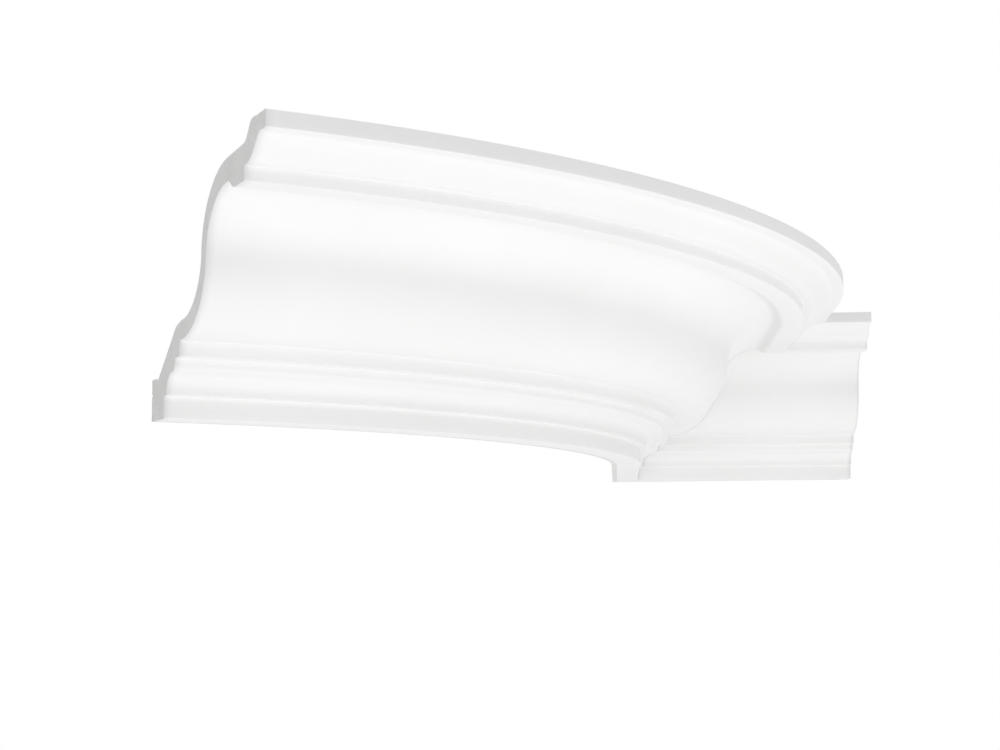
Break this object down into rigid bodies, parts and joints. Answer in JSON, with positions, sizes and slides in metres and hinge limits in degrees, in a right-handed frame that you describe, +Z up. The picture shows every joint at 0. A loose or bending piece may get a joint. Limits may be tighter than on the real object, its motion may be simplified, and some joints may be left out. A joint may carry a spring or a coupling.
{
  "type": "cornice moulding section",
  "caption": "Hollow-backed cornice moulding that follows a round wall, runs out straight and turns an inside corner with a mitred straight return.",
  "frame": {"origin": "on the ceiling contact face, midway between its glue groove and the top fascia, at the plan line where the curve ends and the straight run-out begins", "axes": "+Z up, square to the ceiling; +Y along the run-out towards the return's wall; +X out into the room from the run-out's wall, along the return"},
  "size_m": [0.4987, 0.9137, 0.14],
  "materials": {
    "foam_casting": "white factory primer over rigid moulding foam, dull"
  },
  "bodies": {
    "root": {"curved_length": "foam_casting", "straight_return": "foam_casting"}
  },
  "joints": []
}
